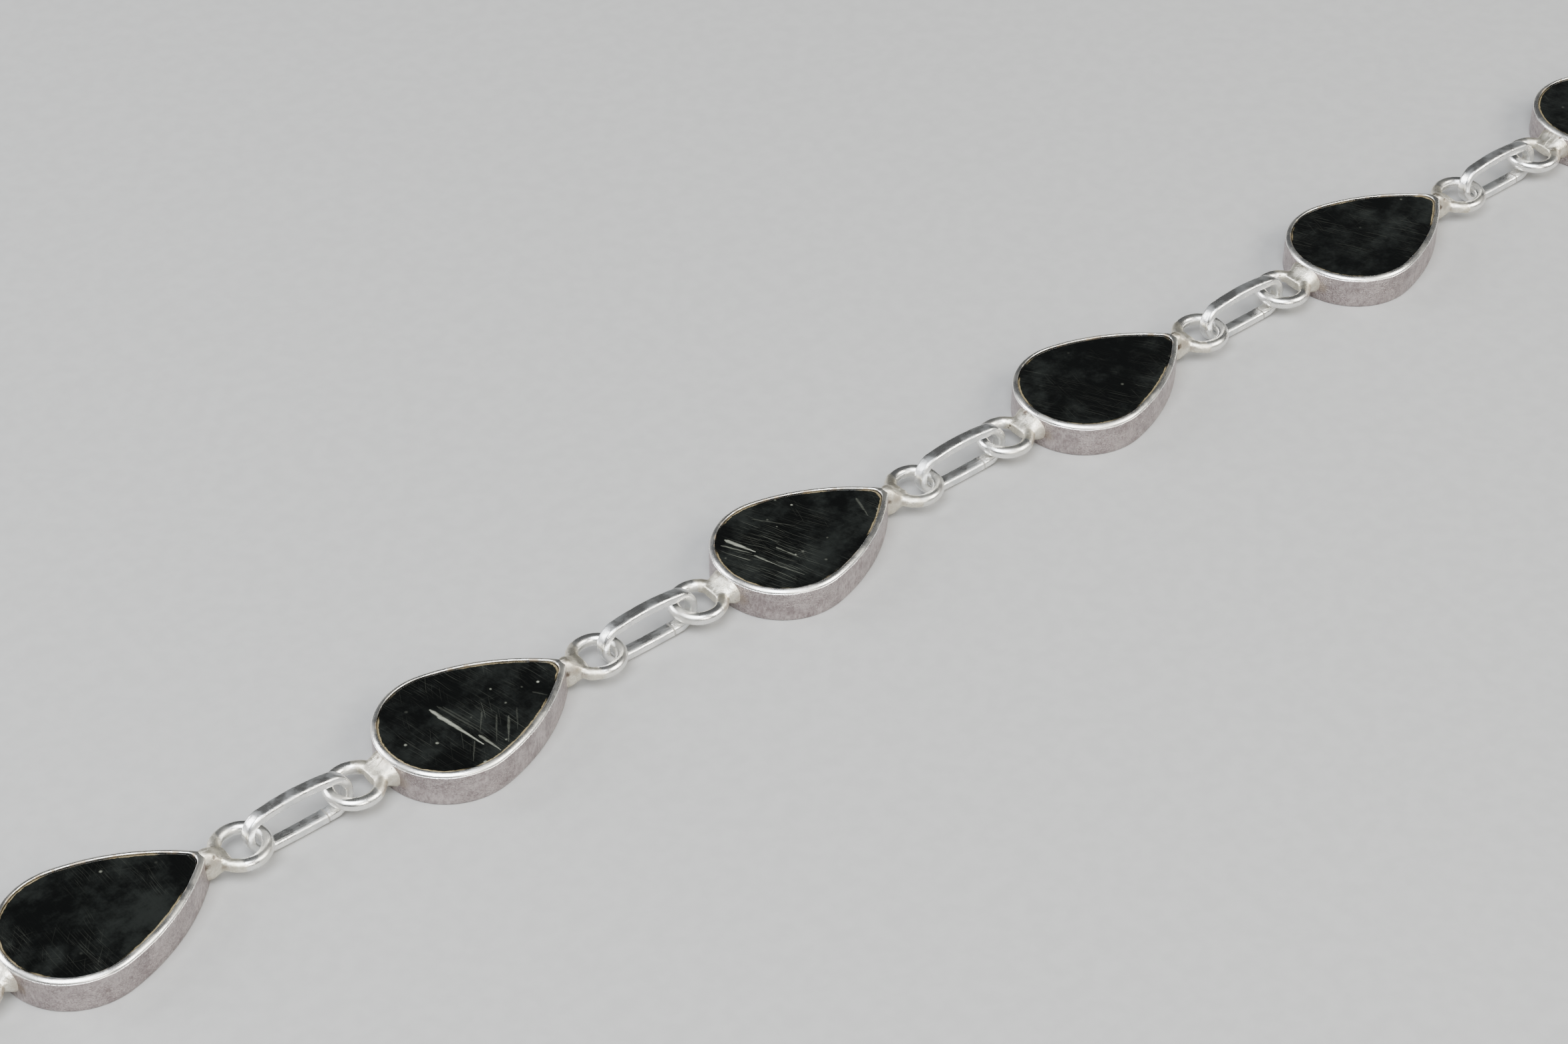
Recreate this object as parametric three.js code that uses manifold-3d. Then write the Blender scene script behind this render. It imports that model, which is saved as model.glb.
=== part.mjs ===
// A chain necklace of pear-shaped black stones in flat-backed silver bezels. Each setting carries a round
// wire eye at its tip and at its round end. Flat-strap oval links join the eyes, and a plain strap S-hook closes the
// loop. Millimetres, +Z up, the backs of the settings on z = 0. The straight run lies along X with the
// tips toward +X, and the rest of the loop bulges toward -Y. The hook lies at the far side's middle.
import * as THREE from 'three';
import Module from 'manifold-3d';
import { mergeVertices } from 'three/addons/utils/BufferGeometryUtils.js';

const wasm = await Module();
wasm.setup();

// ---- chain layout ----
const SETTINGS = 18; // an even number, so the loop is the same on both sides of its middle
const STRAIGHT = 6; // settings in the straight run
const EYE_REACH = 2.1; // from the bezel's end to the centre of its eye
const LINK_SPAN = 7.6; // between the centres of the two eyes a link joins
const HOOK_SPAN = 14; // the same for the closing hook
const CORNER_JOINTS = 4; // joints that share the tight turn at each end of the straight run
const CORNER_DEG_RANGE = [15, 44]; // the turn at each of them is found between these
const HALVINGS = 60; // of that range

// ---- setting ----
const BEZEL_LENGTH = 13; // tip to round end, outside
const BEZEL_WIDTH = 9;
const SHOULDER_DEG = 78; // where the straight-looking sides leave the round end, measured from the tip's direction
const BEZEL_HEIGHT = 2.34;
const RIM_SHOULDER = { inset: 0.1, z: 2.28 }; // the wall's top edge, rubbed over
const WALL_TOP_Z = 1.95; // where the outer wall starts to lean in
const WALL = 0.26;
const BACK = 0.42; // thickness of the flat back plate
const LIP_INSET = 0.36; // how far in the rubbed-over lip reaches
const LIP_EDGE_Z = 2.26; // underside of the lip at its inner edge
const LIP_ROOT_Z = 1.8; // underside of the lip where it leaves the wall

// ---- stone ----
const STONE_GAP = 0.04;
const STONE_TOP_Z = 2.25;

// ---- eyes and their solder ----
const EYE_RADIUS = 1.5; // centreline
const WIRE_RADIUS = 0.4;
const EYE_Z = 1.25;
const EYE_SEGMENTS = 12;
const WIRE_SIDES = 6;
const SOLDER_TIP = { back: 0.25, size: [0.85, 1.05, 0.9] }; // half sizes of the lump, and how far it sits inside the bezel's end
const SOLDER_ROUND = { back: 0.1, size: [0.85, 1.3, 0.85] };
const SOLDER_SIDES = 6;
const SOLDER_BANDS = 4;

// ---- links and hook: flat strap bent on its thin side ----
const STRAP_THICK = 0.6;
const STRAP_WIDE = 0.95;
const STRAP_CORNER = 0.16; // rounding of the strap's edges
const LINK_HALF = 3.28; // centreline half length
const BEND_RADIUS = 1.1; // centreline radius of the end bends
const LINK_BOW_LOW = 0.03; // the lower side swells by this at mid length
const LINK_BOW_HIGH = 0.16; // the upper one
const BEND_STEPS = 6;
const LEAN_DEG = 82; // how far a link has rolled up from lying flat, its outer side high
const HOOK_TAIL = 2.1; // length of strap past each of the hook's bends

const rad = THREE.MathUtils.degToRad;

// ---- pear outline, inset all round, as [x, y] points from the tip; the tip of the outside outline is at x = 0 ----
const ROUND_RADIUS = BEZEL_WIDTH / 2;
const ROUND_X = ROUND_RADIUS - BEZEL_LENGTH; // centre of the round end
const shoulder = rad(SHOULDER_DEG);
const tipReach = -ROUND_X;
const SIDE_RADIUS =
  (tipReach ** 2 + ROUND_RADIUS ** 2 - 2 * tipReach * ROUND_RADIUS * Math.cos(shoulder)) /
  (2 * (ROUND_RADIUS - tipReach * Math.cos(shoulder)));
const SIDE_X = (ROUND_RADIUS - SIDE_RADIUS) * Math.cos(shoulder); // side arc's centre, from the round end's
const SIDE_Y = (ROUND_RADIUS - SIDE_RADIUS) * Math.sin(shoulder);
const SIDE_STEPS = 5;
const ROUND_STEPS = 10; // over the half turn of the round end

function pear(inset) {
  const sideR = SIDE_RADIUS - inset;
  const roundR = ROUND_RADIUS - inset;
  const tipAngle = Math.asin(-SIDE_Y / sideR);
  const half = [];
  for (let i = 0; i < SIDE_STEPS; i++) {
    const a = tipAngle + ((shoulder - tipAngle) * i) / SIDE_STEPS;
    half.push([ROUND_X + SIDE_X + sideR * Math.cos(a), i === 0 ? 0 : SIDE_Y + sideR * Math.sin(a)]);
  }
  half.push([ROUND_X + roundR * Math.cos(shoulder), roundR * Math.sin(shoulder)]);
  for (let i = 0; i <= ROUND_STEPS / 2; i++) {
    const a = Math.PI / 2 + (Math.PI * i) / ROUND_STEPS;
    half.push([ROUND_X + roundR * Math.cos(a), roundR * Math.sin(a)]);
  }
  const mirrored = half.slice(1, -1).reverse().map(([x, y]) => [x, -y]);
  return [...half, ...mirrored];
}

// ---- a closed body from rings of points, each ring joined to the next, with flat ends ----
function loft(rings) {
  const n = rings[0].length;
  const points = rings.flat();
  const faces = [];
  for (let r = 0; r + 1 < rings.length; r++) {
    for (let i = 0; i < n; i++) {
      const j = (i + 1) % n;
      const [a, b, c, d] = [r * n + i, r * n + j, (r + 1) * n + j, (r + 1) * n + i];
      faces.push(a, b, c, a, c, d);
    }
  }
  const last = (rings.length - 1) * n;
  for (let i = 1; i < n - 1; i++) {
    faces.push(0, i + 1, i);
    faces.push(last, last + i, last + i + 1);
  }
  return bodyFrom(points, faces);
}

function bodyFrom(points, faces) {
  const geometry = new THREE.BufferGeometry();
  geometry.setAttribute('position', new THREE.Float32BufferAttribute(points.flat(), 3));
  geometry.setIndex(faces);
  return geometry;
}

function at(outline, z) {
  return outline.map(([x, y]) => [x, y, z]);
}

// ---- booleans, for the soldered metal of one setting ----
const WELD = 1e-4; // points closer than this are one

function solid(geometry) {
  const bare = geometry.clone();
  bare.deleteAttribute('normal');
  bare.deleteAttribute('uv');
  const merged = mergeVertices(bare, WELD);
  return new wasm.Manifold(
    new wasm.Mesh({
      numProp: 3,
      vertProperties: new Float32Array(merged.attributes.position.array),
      triVerts: new Uint32Array(merged.index.array),
    }),
  );
}

function toGeometry(manifold) {
  const mesh = manifold.getMesh();
  const geometry = new THREE.BufferGeometry();
  geometry.setAttribute('position', new THREE.BufferAttribute(mesh.vertProperties.slice(), mesh.numProp));
  geometry.setIndex(new THREE.BufferAttribute(mesh.triVerts.slice(), 1));
  return geometry;
}

// ---- setting: bezel cup, two eyes and the solder between, one body; the round end's eye is at the origin ----
const SETTING_SPAN = BEZEL_LENGTH + 2 * EYE_REACH;
const TIP_X = SETTING_SPAN - EYE_REACH;

function bezelCup() {
  const cup = loft([
    at(pear(0), 0),
    at(pear(0), WALL_TOP_Z),
    at(pear(RIM_SHOULDER.inset), RIM_SHOULDER.z),
    at(pear(LIP_INSET), BEZEL_HEIGHT),
    at(pear(LIP_INSET), LIP_EDGE_Z),
    at(pear(WALL), LIP_ROOT_Z),
    at(pear(WALL), BACK),
  ]);
  return cup.translate(TIP_X, 0, 0);
}

function eye(x) {
  return new THREE.TorusGeometry(EYE_RADIUS, WIRE_RADIUS, WIRE_SIDES, EYE_SEGMENTS).translate(x, 0, EYE_Z);
}

function solder({ size }, x) {
  return new THREE.SphereGeometry(1, SOLDER_SIDES, SOLDER_BANDS).rotateX(Math.PI / 2).scale(...size).translate(x, 0, EYE_Z);
}

// The cup's own room for the stone, taken out again after the lumps and eyes are added.
const ROOM_TOP_Z = 2 * BEZEL_HEIGHT; // clear above the rim

function stoneRoom() {
  const room = loft([
    at(pear(WALL), BACK),
    at(pear(WALL), LIP_ROOT_Z),
    at(pear(LIP_INSET), LIP_EDGE_Z),
    at(pear(LIP_INSET), ROOM_TOP_Z),
  ]);
  return room.translate(TIP_X, 0, 0);
}

function settingGeometry() {
  const pieces = [
    bezelCup(),
    eye(0),
    eye(SETTING_SPAN),
    solder(SOLDER_ROUND, EYE_REACH + SOLDER_ROUND.back),
    solder(SOLDER_TIP, TIP_X - SOLDER_TIP.back),
  ].map(solid);
  return toGeometry(pieces.reduce((sum, piece) => sum.add(piece)).subtract(solid(stoneRoom())));
}

// ---- stone: flat back, bevelled edge under the lip, flat top ----
function stoneGeometry() {
  const foot = WALL + STONE_GAP;
  const stone = loft([
    at(pear(foot), BACK + STONE_GAP),
    at(pear(foot), LIP_ROOT_Z - STONE_GAP),
    at(pear(LIP_INSET + STONE_GAP), STONE_TOP_Z),
  ]);
  return stone.translate(TIP_X, 0, 0);
}

// ---- strap swept along a flat path; the path's plane is XY and the strap is wide along Z ----
function strapSection() {
  const [t, w, c] = [STRAP_THICK / 2, STRAP_WIDE / 2, STRAP_CORNER];
  return [[t, -w + c], [t, w - c], [t - c, w], [-t + c, w], [-t, w - c], [-t, -w + c], [-t + c, -w], [t - c, -w]];
}

function sweep(path, closed) {
  const section = strapSection();
  const n = path.length;
  const rings = path.map(([x, y], i) => {
    const before = path[closed ? (i - 1 + n) % n : Math.max(i - 1, 0)];
    const after = path[closed ? (i + 1) % n : Math.min(i + 1, n - 1)];
    const along = new THREE.Vector2(after[0] - before[0], after[1] - before[1]).normalize();
    return section.map(([out, up]) => [x - along.y * out, y + along.x * out, up]);
  });
  if (!closed) return loft(rings);
  const sides = section.length;
  const faces = [];
  for (let r = 0; r < n; r++) {
    for (let i = 0; i < sides; i++) {
      const [r2, j] = [(r + 1) % n, (i + 1) % sides];
      const [a, b, c, d] = [r * sides + i, r * sides + j, r2 * sides + j, r2 * sides + i];
      faces.push(a, b, c, a, c, d);
    }
  }
  return bodyFrom(rings.flat(), faces);
}

function bend(cx, cy, from, to) {
  const points = [];
  for (let i = 0; i <= BEND_STEPS; i++) {
    const a = from + ((to - from) * i) / BEND_STEPS;
    points.push([cx + BEND_RADIUS * Math.cos(a), cy + BEND_RADIUS * Math.sin(a)]);
  }
  return points;
}

const HIGH_SIDE = [0.5, 0, -0.5]; // places along the bowed upper side, as shares of its half length

function linkGeometry() {
  const c = LINK_HALF - BEND_RADIUS;
  const quarter = Math.PI / 2;
  return sweep(
    [
      ...bend(c, 0, -quarter, quarter),
      ...HIGH_SIDE.map((share) => [c * share, BEND_RADIUS + LINK_BOW_HIGH * (1 - share ** 2)]),
      ...bend(-c, 0, quarter, 3 * quarter),
      [0, -BEND_RADIUS - LINK_BOW_LOW],
    ],
    true,
  );
}

// The hook's bends are centred on the eye wires they go round; its bar crosses from the low side to the high side.
function hookGeometry() {
  const c = HOOK_SPAN / 2 - EYE_RADIUS;
  const quarter = Math.PI / 2;
  const straight = HOOK_TAIL / 2;
  return sweep(
    [
      [-c + HOOK_TAIL, BEND_RADIUS],
      [-c + straight, BEND_RADIUS],
      ...bend(-c, 0, quarter, 3 * quarter),
      [-c + straight, -BEND_RADIUS],
      [c - straight, BEND_RADIUS],
      ...bend(c, 0, quarter, -quarter),
      [c - straight, -BEND_RADIUS],
      [c - HOOK_TAIL, -BEND_RADIUS],
    ],
    false,
  );
}

// ---- the loop: pivots are the eye centres, from the straight run's middle round to the hook on the right side ----
const PITCH = SETTING_SPAN + LINK_SPAN;
const HALF = SETTINGS / 2;

// Half the loop for one corner angle: straight run, corner, then an even curve that ends heading back along -X.
function halfLoop(cornerDeg) {
  const straightJoints = STRAIGHT - 1;
  const spans = [];
  for (let i = 0; i < HALF; i++) spans.push(SETTING_SPAN, LINK_SPAN);
  spans.pop();
  const bends = spans.length - straightJoints + 1; // joints that turn, the last one onto the hook
  const evenDeg = (180 - CORNER_JOINTS * cornerDeg) / (bends - CORNER_JOINTS);
  const pivots = [[LINK_SPAN / 2, 0]];
  let heading = 0;
  spans.forEach((span, i) => {
    const turned = i - straightJoints;
    if (turned >= 0) heading -= turned < CORNER_JOINTS ? cornerDeg : evenDeg;
    const [x, y] = pivots.at(-1);
    pivots.push([x + span * Math.cos(rad(heading)), y + span * Math.sin(rad(heading))]);
  });
  return pivots;
}

// The corner angle that leaves exactly half the hook's span to the middle.
function closedHalf() {
  let [low, high] = CORNER_DEG_RANGE;
  for (let i = 0; i < HALVINGS; i++) {
    const mid = (low + high) / 2;
    if (halfLoop(mid).at(-1)[0] > HOOK_SPAN / 2) low = mid;
    else high = mid;
  }
  return halfLoop(low);
}

const right = closedHalf();
const left = right.map(([x, y]) => [-x, y]).reverse();
const pivots = [...left, ...right];

// ---- materials ----
const silver = () => new THREE.MeshStandardMaterial({ name: 'silver', color: 0xd6d4ce, metalness: 1, roughness: 0.3 });
const onyx = () => new THREE.MeshStandardMaterial({ name: 'black_stone', color: 0x0d1011, metalness: 0, roughness: 0.1 });

// ---- assembly ----
const necklace = new THREE.Group();
necklace.name = 'necklace';

function between([x0, y0], [x1, y1], name) {
  const group = new THREE.Group();
  group.name = name;
  group.rotation.z = Math.atan2(y1 - y0, x1 - x0);
  group.position.set(x0, y0, 0);
  necklace.add(group);
  return group;
}

function addMesh(group, geometry, material, name) {
  geometry.computeVertexNormals();
  const mesh = new THREE.Mesh(geometry, material);
  mesh.name = name;
  group.add(mesh);
  return mesh;
}

const STRAP_LOW = BEND_RADIUS + STRAP_THICK / 2; // from the strap piece's middle to its low edge, before it leans

// Height of a leaning strap piece's middle when its low edge rests on z = 0.
function strapHeight(halfHigh) {
  const lean = rad(LEAN_DEG);
  return Math.max(
    halfHigh * Math.sin(lean) + (STRAP_WIDE / 2 - STRAP_CORNER) * Math.cos(lean),
    (halfHigh - STRAP_CORNER) * Math.sin(lean) + (STRAP_WIDE / 2) * Math.cos(lean),
  );
}

const two = (n) => String(n).padStart(2, '0');
const setting = settingGeometry();
const stone = stoneGeometry();
const link = linkGeometry();

pivots.slice(0, -1).forEach((from, i) => {
  const to = pivots[i + 1];
  const number = Math.floor(i / 2) + 1;
  if (i % 2 === 0) {
    const group = between(from, to, `unit_${two(number)}`);
    addMesh(group, setting.clone(), silver(), `setting_${two(number)}`);
    addMesh(group, stone.clone(), onyx(), `stone_${two(number)}`);
  } else {
    const group = between(from, to, `join_${two(number)}`);
    const mesh = addMesh(group, link.clone(), silver(), `link_${two(number)}`);
    mesh.position.set(LINK_SPAN / 2, 0, strapHeight(STRAP_LOW + LINK_BOW_LOW));
    mesh.rotation.x = rad(LEAN_DEG);
  }
});

const closing = between(pivots.at(-1), pivots[0], 'closing');
const hook = addMesh(closing, hookGeometry(), silver(), 'hook_clasp');
hook.position.set(HOOK_SPAN / 2, 0, strapHeight(STRAP_LOW));
hook.rotation.x = rad(LEAN_DEG);

// The origin is the middle of the whole loop's box, at the bottom.
const middle = new THREE.Box3().setFromObject(necklace, true).getCenter(new THREE.Vector3());
necklace.position.set(-middle.x, -middle.y, 0);

export default necklace;
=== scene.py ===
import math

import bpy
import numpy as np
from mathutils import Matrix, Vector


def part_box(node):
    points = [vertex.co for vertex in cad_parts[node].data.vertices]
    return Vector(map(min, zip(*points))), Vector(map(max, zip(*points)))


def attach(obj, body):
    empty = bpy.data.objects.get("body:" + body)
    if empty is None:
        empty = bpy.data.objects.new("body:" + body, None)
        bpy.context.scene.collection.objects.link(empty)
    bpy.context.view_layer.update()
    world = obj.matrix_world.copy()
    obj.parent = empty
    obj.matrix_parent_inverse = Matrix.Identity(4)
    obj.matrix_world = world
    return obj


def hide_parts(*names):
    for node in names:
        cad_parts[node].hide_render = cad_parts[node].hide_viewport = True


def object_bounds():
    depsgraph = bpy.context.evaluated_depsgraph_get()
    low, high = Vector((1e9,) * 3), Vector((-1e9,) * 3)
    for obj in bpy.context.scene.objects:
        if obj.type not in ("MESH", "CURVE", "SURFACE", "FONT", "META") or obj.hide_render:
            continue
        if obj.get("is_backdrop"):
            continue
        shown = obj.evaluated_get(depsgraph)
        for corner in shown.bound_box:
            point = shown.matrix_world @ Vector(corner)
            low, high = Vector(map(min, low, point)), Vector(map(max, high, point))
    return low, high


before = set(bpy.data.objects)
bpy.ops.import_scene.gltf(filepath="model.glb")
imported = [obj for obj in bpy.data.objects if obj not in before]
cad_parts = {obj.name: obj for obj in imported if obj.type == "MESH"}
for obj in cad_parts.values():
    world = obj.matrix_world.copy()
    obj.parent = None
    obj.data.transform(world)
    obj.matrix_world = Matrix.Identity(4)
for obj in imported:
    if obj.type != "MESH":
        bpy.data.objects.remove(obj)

# %% [markdown]
# # A chain necklace of black pear stones
#
# The necklace is one drawing repeated: a pear-shaped black stone in a silver bezel with a wire eye at each
# end, and an oval link that joins each setting to the next. Drawing all 54 pieces one by one would take long
# and no two would match. So each kind of piece is drawn once, in millimetres, and a Geometry Nodes tree then
# lays copies of it along the chain. The CAD solids loaded above are the frame: they stay where they are, and
# the pieces made here are shown in their place.

MM = 0.001
bounds_at_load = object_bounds()
print("CAD box in mm:", [round(x / MM, 2) for corner in bounds_at_load for x in corner])

# %% [markdown]
# ## Where the chain runs
#
# The links are loose in the wire eyes. So the chain is drawn as a string of straight spans that turn at the
# middles of the eyes: a setting, a link, a setting, and so on. A curve with pieces spread along it would
# leave the eyes and links apart. Half the loop is worked out and mirrored. It has a straight run, then a few
# joints that share a tight turn, then an even curve. The tight turn's angle is found by halving an interval
# until the two halves meet at the hook. That is simpler than solving for it, and as exact.

# %% the chain's spans
SETTINGS, STRAIGHT = 18, 6  # settings in all, and those in the straight run
BEZEL_LENGTH, EYE_REACH = 13.0, 2.1  # the reach is from the bezel to the middle of an eye
SETTING_SPAN, LINK_SPAN, HOOK_SPAN = BEZEL_LENGTH + 2 * EYE_REACH, 7.6, 14.0
EYE_RADIUS, WIRE_RADIUS, EYE_Z = 1.5, 0.4, 1.25  # the ring, its wire, and the height of its middle
CORNER_JOINTS = 4  # how many joints share the tight turn
HALVINGS = 60


def half_loop(corner):
    """Eye middles of the right half, from the middle link to the hook, for a tight turn of those degrees."""
    spans = [SETTING_SPAN, LINK_SPAN] * (SETTINGS // 2)
    spans.pop()
    straight = STRAIGHT - 1  # half the settings of the straight run, and the links between them
    even = (180 - CORNER_JOINTS * corner) / (len(spans) - straight + 1 - CORNER_JOINTS)
    at, heading = np.array([LINK_SPAN / 2, 0.0]), 0.0
    pivots = [tuple(at)]
    for i, span in enumerate(spans):
        if i >= straight:
            heading -= corner if i - straight < CORNER_JOINTS else even
        at = at + span * np.array([math.cos(math.radians(heading)), math.sin(math.radians(heading))])
        pivots.append(tuple(at))
    return pivots


low, high = 15.0, 44.0  # degrees
for _ in range(HALVINGS):
    middle = (low + high) / 2
    if half_loop(middle)[-1][0] > HOOK_SPAN / 2:
        low = middle
    else:
        high = middle
right = half_loop(low)
pivots = np.array([(-x, y) for x, y in reversed(right)] + right)
print("corner turn", round(low, 2), "degrees;", len(pivots), "pivots")

# %% [markdown]
# The pivots are still measured from the middle link. setting_10 is the first setting to its right, so its CAD
# box says where the whole loop lies. The other CAD boxes then check it: the middle of each link's span is the
# middle of that link's box.

# %% place the spans and check them
box_low, box_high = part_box("setting_10")
pivots += [box_low.x / MM + EYE_RADIUS + WIRE_RADIUS - LINK_SPAN / 2, (box_low.y + box_high.y) / 2 / MM]
spans = [(pivots[i], pivots[i + 1]) for i in range(len(pivots) - 1)]
setting_spans, link_spans, hook_span = spans[0::2], spans[1::2], (pivots[-1], pivots[0])


def middle_of(node):
    """Middle of a CAD node's box seen from above, in millimetres."""
    lower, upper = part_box(node)
    return np.array([lower.x + upper.x, lower.y + upper.y]) / 2 / MM


off = [np.linalg.norm((a + b) / 2 - middle_of(f"link_{n:02d}")) for n, (a, b) in enumerate(link_spans, 1)]
print(len(setting_spans), "settings,", len(link_spans), "links")
print("largest distance from a link's CAD middle:", round(max(off), 4), "mm")

# %% [markdown]
# ## The pear outline
#
# A pear is four arcs: a round end, two long sides and a small rounded tip, each leaving the last in the same
# direction. A traced line would do for one wall, but arcs can be moved inwards exactly: the end and the sides
# keep their centres and lose the same radius. The tip grows rounder instead, so the lip comes out widest
# there, as a rubbed-over bezel does. X is 0 at the tip and falls towards the round end.

# %% the outline
WIDTH, SHOULDER, TIP_ROUND = 9.0, math.radians(78), 0.5
TIP_GROWTH, TIP_DEPTH = 0.6, 0.6  # the share of an inset that the tip's radius gains, and up to which inset
TIP_POINTS, SIDE_POINTS, END_POINTS = 7, 26, 24
QUARTER = math.pi / 2
R_END = WIDTH / 2
END_X = R_END - BEZEL_LENGTH  # centre of the round end
R_SIDE = (END_X**2 + R_END**2 + 2 * END_X * R_END * math.cos(SHOULDER)) / (
    2 * (R_END + END_X * math.cos(SHOULDER))
)
SIDE_X, SIDE_Y = (R_END - R_SIDE) * math.cos(SHOULDER), (R_END - R_SIDE) * math.sin(SHOULDER)


def arc(cx, cy, r, start, end, steps):
    a = np.linspace(start, end, steps)
    return np.stack([cx + r * np.cos(a), cy + r * np.sin(a)], 1)


def pear(inset):
    """The outline moved inwards, from the tip once round."""
    r_tip = TIP_ROUND + TIP_GROWTH * min(inset, TIP_DEPTH)
    tip_x = SIDE_X + math.sqrt((R_SIDE - inset - r_tip) ** 2 - SIDE_Y**2)
    tip_a = math.atan2(-SIDE_Y, tip_x - SIDE_X)
    half = np.concatenate([
        arc(END_X + tip_x, 0, r_tip, 0, tip_a, TIP_POINTS),
        arc(END_X + SIDE_X, SIDE_Y, R_SIDE - inset, tip_a, SHOULDER, SIDE_POINTS)[1:],
        arc(END_X, 0, R_END - inset, SHOULDER, math.pi, END_POINTS)[1:],
    ])
    return np.concatenate([half, half[-2:0:-1] * [1, -1]])


OUTLINE = pear(0)
print("outline points:", len(OUTLINE), "length in mm:", round(OUTLINE[0, 0] - OUTLINE[:, 0].min(), 3))

# %% [markdown]
# Each wall, lip and stone edge is the same outline at another inset and height, so a body is a stack of such
# outlines joined by quads. Blender could bevel a plain block instead, but a stack puts every ring just where
# the section turns.

# %% stacks of outlines


def at_height(outline, z):
    return np.column_stack([outline, np.full(len(outline), z)])


def loft(rings, closed=False):
    """Quads between each ring of points and the next, with flat ends, or end to end if closed."""
    n, count = len(rings[0]), len(rings)
    faces = []
    for r in range(count if closed else count - 1):
        s = (r + 1) % count
        faces += [(r * n + i, r * n + (i + 1) % n, s * n + (i + 1) % n, s * n + i) for i in range(n)]
    if not closed:
        faces += [tuple(range(n - 1, -1, -1)), tuple(range((count - 1) * n, count * n))]
    return np.concatenate(rings), faces


def rounded(points, times=2):
    """Corner cutting: each pass replaces a corner by two points, so the line turns more gently."""
    points = np.asarray(points, float)
    for _ in range(times):
        near, far = points[:-1] * 0.75 + points[1:] * 0.25, points[:-1] * 0.25 + points[1:] * 0.75
        points = np.concatenate([points[:1], np.stack([near, far], 1).reshape(-1, 2)[1:-1], points[-1:]])
    return points


# %% [markdown]
# ## The bezel cup
#
# A bezel is a strip of sheet bent round the stone, soldered to a flat back, and rubbed over the stone's edge.
# Its section goes up the wall, over a rounded burnished rim, down the lip's inner edge, and back under the
# lip to the floor. The rim is a few corners cut to a curve, which is easier to adjust than arcs. The
# wall has spare rings, so that it can be made a little uneven later.

# %% the cup
# each row is (inset, height) in millimetres
FOOT = [(0.12, 0), (0.035, 0.03)]
WALL = [(0, z) for z in np.linspace(0.11, 1.95, 7)[:-1]]
RIM = [(0, 1.95), (0, 2.17), (0.12, 2.29), (0.3, 2.36), (0.37, 2.3), (0.35, 2.18), (0.26, 1.8)]
CUP_FLOOR = (0.26, 0.42)
CUP = [*FOOT, *WALL, *rounded(RIM), CUP_FLOOR]
cup = loft([at_height(pear(inset), z) for inset, z in CUP])
print("cup:", len(CUP), "rings,", len(cup[1]), "faces")

# %% [markdown]
# ## Meshes from lists, and from modifiers
#
# Blender takes a mesh as a list of points and a list of faces, each face the numbers of its points. Where a
# modifier makes the shape, the result exists only in the evaluated scene. So it is read back from there as a
# plain mesh, and the object that carried the modifier is thrown away.

# %% mesh tools


def mesh_object(name, verts, faces):
    mesh = bpy.data.meshes.new(name)
    mesh.from_pydata([tuple(map(float, v)) for v in verts], [], [tuple(f) for f in faces])
    mesh.validate()
    mesh.update()
    piece = bpy.data.objects.new(name, mesh)
    bpy.context.scene.collection.objects.link(piece)
    return piece


def baked(piece, name):
    """What the piece's modifiers make, as a plain mesh object; the piece itself is thrown away."""
    bpy.context.view_layer.update()
    evaluated = piece.evaluated_get(bpy.context.evaluated_depsgraph_get())
    mesh = bpy.data.meshes.new_from_object(evaluated)
    mesh.name = name
    bpy.data.objects.remove(piece)
    result = bpy.data.objects.new(name, mesh)
    bpy.context.scene.collection.objects.link(result)
    return result


def joined(*bodies):
    """Several (points, faces) bodies as one list of points and one of faces."""
    verts, faces, base = [], [], 0
    for v, f in bodies:
        verts.append(v)
        faces += [tuple(i + base for i in face) for face in f]
        base += len(v)
    return np.concatenate(verts), faces


# %% [markdown]
# ## Eyes and solder
#
# Molten solder pulls itself into a smooth web between the wire and the wall. Bevelling the corner between two
# solids would leave a stripe, not a web. So a ring of wire, a flared web and a thin slice of the wall are
# laid over each other, remeshed into one skin and smoothed, which rounds every inside corner as the solder
# did. The slice sits just under the cup's own wall, so the web leaves it at a shallow angle with no seam.

# %% wire eye and web
WIRE_STEPS, WIRE_SIDES = 72, 20
WEB_SIDES, WEB_SQUARENESS = 24, 0.8  # a power of 1 would make the section an ellipse
SLICE_INSETS, SLICE_HEIGHTS = (0.06, 0.22), (0.12, 2.17)


def eye(middle):
    """A closed ring of round wire that lies flat round that X."""
    rings = []
    for a in np.linspace(0, 2 * math.pi, WIRE_STEPS, endpoint=False):
        b = np.linspace(0, 2 * math.pi, WIRE_SIDES, endpoint=False)
        r = EYE_RADIUS + WIRE_RADIUS * np.cos(b)
        ring = np.column_stack([middle + r * math.cos(a), r * math.sin(a), EYE_Z + WIRE_RADIUS * np.sin(b)])
        rings.append(ring[::-1])
    return loft(rings, closed=True)


def web(sections):
    """A flared body along X. Each section is (x, half width, half height, height of its middle)."""
    b = np.linspace(0, 2 * math.pi, WEB_SIDES, endpoint=False)
    y, z = (np.sign(part) * np.abs(part) ** WEB_SQUARENESS for part in (np.cos(b), np.sin(b)))
    return loft([np.column_stack([np.full(len(b), x), w * y, mid + h * z]) for x, w, h, mid in sections])


def wall_slice(keep):
    """The wall's own thickness, a hair inside its faces, for the outline points where keep is true."""
    outer, inner = (pear(inset) for inset in SLICE_INSETS)
    picked = [i for i in range(len(outer)) if keep(outer[i])]
    split = next((k + 1 for k in range(len(picked) - 1) if picked[k + 1] - picked[k] > 1), 0)
    picked = picked[split:] + picked[:split]
    plan = np.concatenate([outer[picked], inner[picked][::-1]])
    return loft([at_height(plan, z) for z in SLICE_HEIGHTS])


print("eye:", len(eye(0)[1]), "faces before it is melted")

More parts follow.
